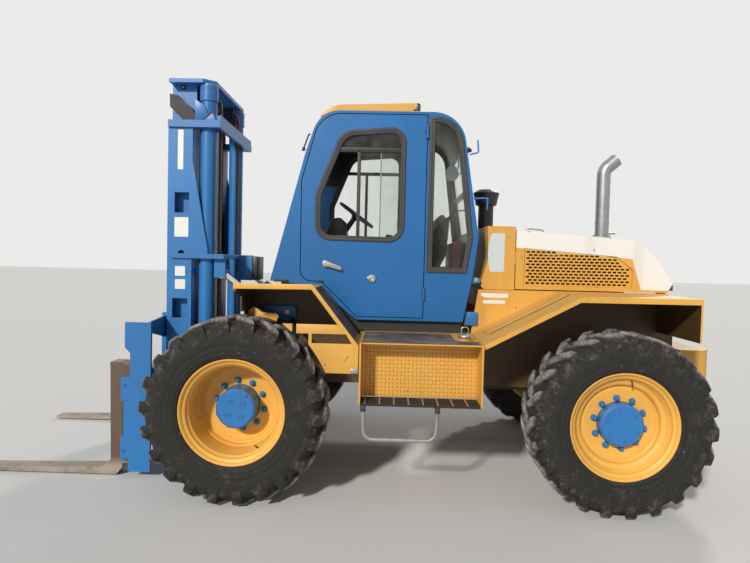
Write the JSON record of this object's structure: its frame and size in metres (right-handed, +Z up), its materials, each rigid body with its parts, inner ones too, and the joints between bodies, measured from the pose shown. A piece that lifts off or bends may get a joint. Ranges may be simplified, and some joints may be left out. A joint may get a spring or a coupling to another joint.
{
  "type": "pneumatic tire forklift",
  "caption": "Rough-terrain counterbalance forklift with an enclosed cab, a tilting two-stage mast, sliding forks, large lugged tyres and steered rear wheels.",
  "frame": {"origin": "on the ground at the centre of the whole machine's plan, forks included", "axes": "+X forward along the forks, +Y to the driver's left, +Z up"},
  "size_m": [5.689, 2.508, 3.0098],
  "materials": {
    "tyre_rubber": "dusty worn rubber",
    "rim_yellow": "semi-gloss amber yellow, chipped",
    "body_yellow": "semi-gloss amber yellow, dusty",
    "blue_paint": "gloss mid blue overpaint",
    "dark_steel": "dull black and oily",
    "rusty_steel": "scuffed and rusty",
    "chain_steel": "greased",
    "chrome_rod": "polished",
    "black_rubber": "matt",
    "clear_glass": "clear, dusty",
    "black_plastic": "grained",
    "seat_vinyl": "black vinyl",
    "exhaust_grey": "aluminised, heat dulled",
    "lamp_red": "red lens"
  },
  "bodies": {
    "chassis": {"air_cleaner": "black_plastic", "cab_floor": "blue_paint", "cab_front": "blue_paint", "cab_gaskets": "black_rubber", "cab_glass": "clear_glass", "cab_left": "blue_paint", "cab_rear": "blue_paint", "cab_right": "blue_paint", "cab_roof": "blue_paint", "controls": "black_plastic", "counterweight": "body_yellow", "cowl": "body_yellow", "frame": "body_yellow", "front_axle": "dark_steel", "front_fenders": "body_yellow", "powertrain": "dark_steel", "rear_axle": "dark_steel", "rear_fenders": "body_yellow", "roof_guard": "body_yellow", "seat": "seat_vinyl", "step_boxes": "body_yellow", "steps": "rusty_steel", "tail_lamps": "lamp_red", "tilt_anchors": "body_yellow"},
    "hood": {"hood_shell": "body_yellow", "hood_grilles": "body_yellow", "exhaust_stack": "exhaust_grey"},
    "door": {"door_panel": "blue_paint", "door_glass": "clear_glass", "door_gasket": "black_rubber", "door_handle": "chrome_rod"},
    "mast_outer": {"mast_outer": "blue_paint", "lift_barrels": "blue_paint", "chain_fixed": "chain_steel", "hose_guide": "black_rubber"},
    "mast_inner": {"mast_inner": "blue_paint", "lift_rods": "chrome_rod", "chain_sheaves": "chain_steel", "chain_moving": "chain_steel", "chain_front": "chain_steel"},
    "carriage": {"carriage": "blue_paint"},
    "fork_left": {"fork_left": "rusty_steel"},
    "fork_right": {"fork_right": "rusty_steel"},
    "tilt_barrels": {"tilt_barrels": "blue_paint"},
    "tilt_rods": {"tilt_rods": "chrome_rod"},
    "knuckle_left": {"knuckle_left": "dark_steel"},
    "knuckle_right": {"knuckle_right": "dark_steel"},
    "tie_rod": {"tie_rod": "dark_steel"},
    "wheel_front_left": {"tyre_front_left": "tyre_rubber", "rim_front_left": "rim_yellow", "hub_front_left": "blue_paint"},
    "wheel_front_right": {"tyre_front_right": "tyre_rubber", "rim_front_right": "rim_yellow", "hub_front_right": "blue_paint"},
    "wheel_rear_left": {"tyre_rear_left": "tyre_rubber", "rim_rear_left": "rim_yellow", "hub_rear_left": "blue_paint"},
    "wheel_rear_right": {"tyre_rear_right": "tyre_rubber", "rim_rear_right": "rim_yellow", "hub_rear_right": "blue_paint"}
  },
  "joints": [
    {"name": "mast_tilt", "type": "hinge", "parent": "chassis", "child": "mast_outer", "pos_m": [0.8655, 0, 0.56], "axis": [0, 1, 0], "range_deg": [-10, 10]},
    {"name": "mast_lift", "type": "slide", "parent": "mast_outer", "child": "mast_inner", "axis": [0, 0, 1], "range_m": [0, 2]},
    {"name": "carriage_lift", "type": "slide", "parent": "mast_inner", "child": "carriage", "axis": [0, 0, 1], "range_m": [0, 2], "deforming": ["chain_front"]},
    {"name": "fork_left_slide", "type": "slide", "parent": "carriage", "child": "fork_left", "axis": [0, -1, 0], "range_m": [0, 0.45]},
    {"name": "fork_right_slide", "type": "slide", "parent": "carriage", "child": "fork_right", "axis": [0, 1, 0], "range_m": [0, 0.45]},
    {"name": "tilt_barrel_swing", "type": "hinge", "parent": "chassis", "child": "tilt_barrels", "pos_m": [0.3255, 0, 1.09], "axis": [0, 1, 0], "range_deg": [-12, 12]},
    {"name": "tilt_rod_slide", "type": "slide", "parent": "tilt_barrels", "child": "tilt_rods", "axis": [0.8085, 0, 0.5885], "range_m": [-0.17, 0.17]},
    {"name": "steer_left", "type": "hinge", "parent": "chassis", "child": "knuckle_left", "pos_m": [-1.9545, 0.83, 0.607], "axis": [0, 0, 1], "range_deg": [-35, 35]},
    {"name": "steer_right", "type": "hinge", "parent": "chassis", "child": "knuckle_right", "pos_m": [-1.9545, -0.83, 0.607], "axis": [0, 0, 1], "range_deg": [-35, 35]},
    {"name": "tie_rod_swing", "type": "hinge", "parent": "knuckle_left", "child": "tie_rod", "pos_m": [-2.2145, 0.83, 0.457], "axis": [0, 0, 1], "range_deg": [-36, 36]},
    {"name": "door_hinge", "type": "hinge", "parent": "chassis", "child": "door", "pos_m": [-0.6775, 0.552, 1.975], "axis": [0, 0, 1], "range_deg": [0, 100]},
    {"name": "hood_hinge", "type": "hinge", "parent": "chassis", "child": "hood", "pos_m": [-2.5445, 0, 1.448], "axis": [0, -1, 0], "range_deg": [0, 50]},
    {"name": "wheel_front_left_spin", "type": "hinge", "parent": "chassis", "child": "wheel_front_left", "pos_m": [0.5955, 1.059, 0.625], "axis": [0, 1, 0], "continuous": true},
    {"name": "wheel_front_right_spin", "type": "hinge", "parent": "chassis", "child": "wheel_front_right", "pos_m": [0.5955, -1.059, 0.625], "axis": [0, 1, 0], "continuous": true},
    {"name": "wheel_rear_left_spin", "type": "hinge", "parent": "knuckle_left", "child": "wheel_rear_left", "pos_m": [-1.9545, 1.059, 0.607], "axis": [0, 1, 0], "continuous": true},
    {"name": "wheel_rear_right_spin", "type": "hinge", "parent": "knuckle_right", "child": "wheel_rear_right", "pos_m": [-1.9545, -1.059, 0.607], "axis": [0, 1, 0], "continuous": true}
  ],
  "couplings": [
    {"joint": "carriage_lift", "follows": "mast_lift", "ratio": 1},
    {"joint": "tilt_barrel_swing", "follows": "mast_tilt", "ratio": 0.8399},
    {"joint": "tilt_rod_slide", "follows": "mast_tilt", "m_per_rad": 0.7441},
    {"joint": "steer_right", "follows": "steer_left", "ratio": 1},
    {"joint": "tie_rod_swing", "follows": "steer_left", "ratio": -1}
  ]
}
